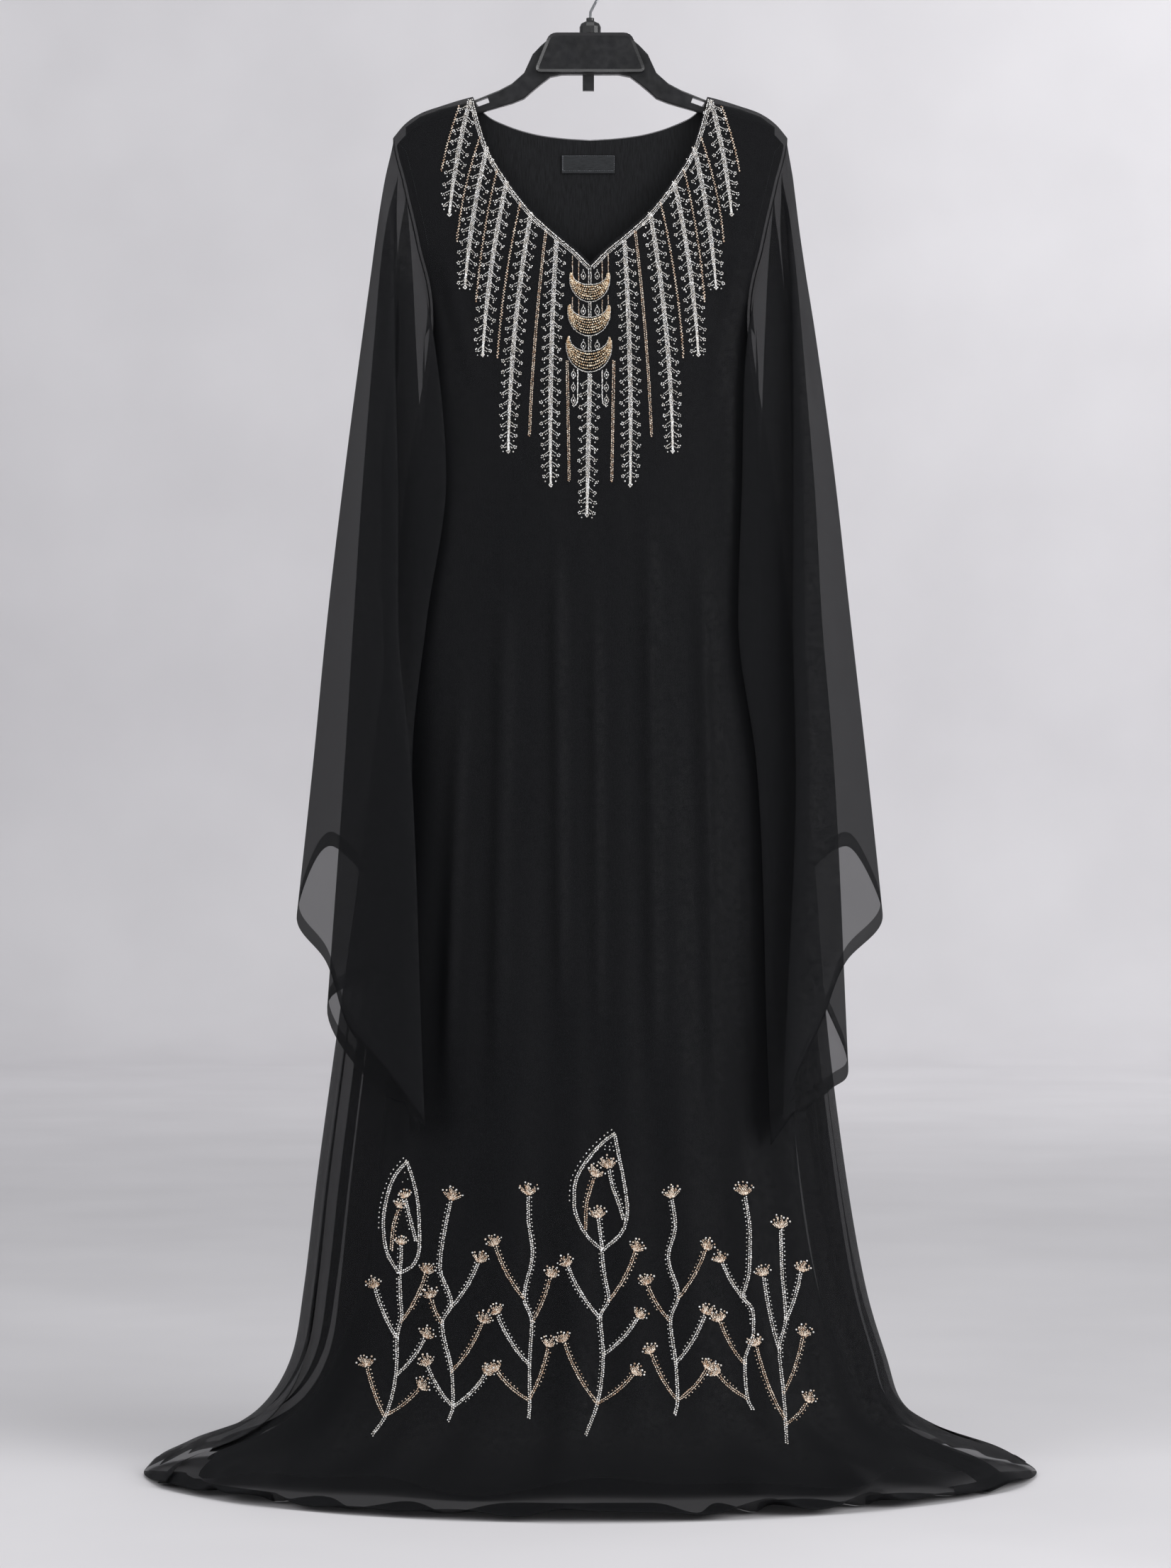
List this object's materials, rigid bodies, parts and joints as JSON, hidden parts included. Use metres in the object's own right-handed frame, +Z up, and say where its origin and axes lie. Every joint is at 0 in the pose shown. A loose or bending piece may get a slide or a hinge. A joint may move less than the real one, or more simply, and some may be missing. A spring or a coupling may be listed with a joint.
{
  "type": "kaftan on a clothes hanger",
  "caption": "Floor-trailing kaftan of sheer georgette with a V neck, beaded crescents and long wing sleeves, hanging hollow from a moulded hanger by its hook.",
  "frame": {"origin": "inside the crown of the hanger's hook, where the rail carries it; the hem trails on a floor 1.605 m below", "axes": "+Z up along the garment, +X to the right as seen from the front, the front faces -Y"},
  "size_m": [0.944, 0.5242, 1.606],
  "materials": {
    "georgette": "sheer black polyester georgette",
    "lining": "black satin lining",
    "beadwork": "silver and champagne beads sewn close together",
    "label": "black woven satin, bare",
    "hanger_plastic": "moulded black polystyrene",
    "hook_wire": "bright chromed wire"
  },
  "bodies": {
    "root": {"front_panel": "georgette", "back_panel": "georgette", "sleeve_left": "georgette", "sleeve_right": "georgette", "lining_front": "lining", "lining_back": "lining", "neck_edging": "beadwork", "crescent_top": "beadwork", "crescent_middle": "beadwork", "crescent_bottom": "beadwork", "label": "label", "hanger_arms": "hanger_plastic", "hanger_plate": "hanger_plastic", "hanger_boss": "hanger_plastic", "hanger_clip": "hanger_plastic", "hook": "hook_wire"}
  },
  "joints": []
}
